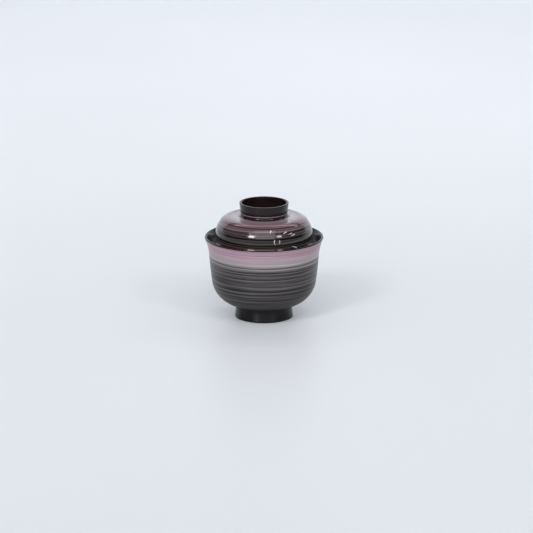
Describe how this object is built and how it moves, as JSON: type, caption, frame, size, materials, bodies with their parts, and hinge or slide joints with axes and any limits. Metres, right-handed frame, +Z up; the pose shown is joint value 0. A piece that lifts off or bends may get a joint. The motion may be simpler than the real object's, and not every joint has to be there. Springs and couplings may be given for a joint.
{
  "type": "lidded soup bowl",
  "caption": "Round lacquered soup bowl on a ring foot, with a domed lid that sits inside the flared rim and lifts off by its finger ring.",
  "frame": {"origin": "centre of the plane that the foot ring rests on", "axes": "+Z up along the axis of turning; the picture looks along +Y from the front, with +X to the right"},
  "size_m": [0.112, 0.112, 0.1108],
  "materials": {
    "bowl_lacquer": "glossy lacquer, mauve at the rim fading through fine brushed lines to near black",
    "lid_lacquer": "glossy lacquer, mauve brown at the crown fading to near black, with fine brushed lines"
  },
  "bodies": {
    "bowl": {"bowl": "bowl_lacquer"},
    "lid": {"lid": "lid_lacquer"}
  },
  "joints": [
    {"name": "lid_lift", "type": "slide", "parent": "bowl", "child": "lid", "axis": [0, 0, 1], "range_m": [0, 0.12]}
  ]
}
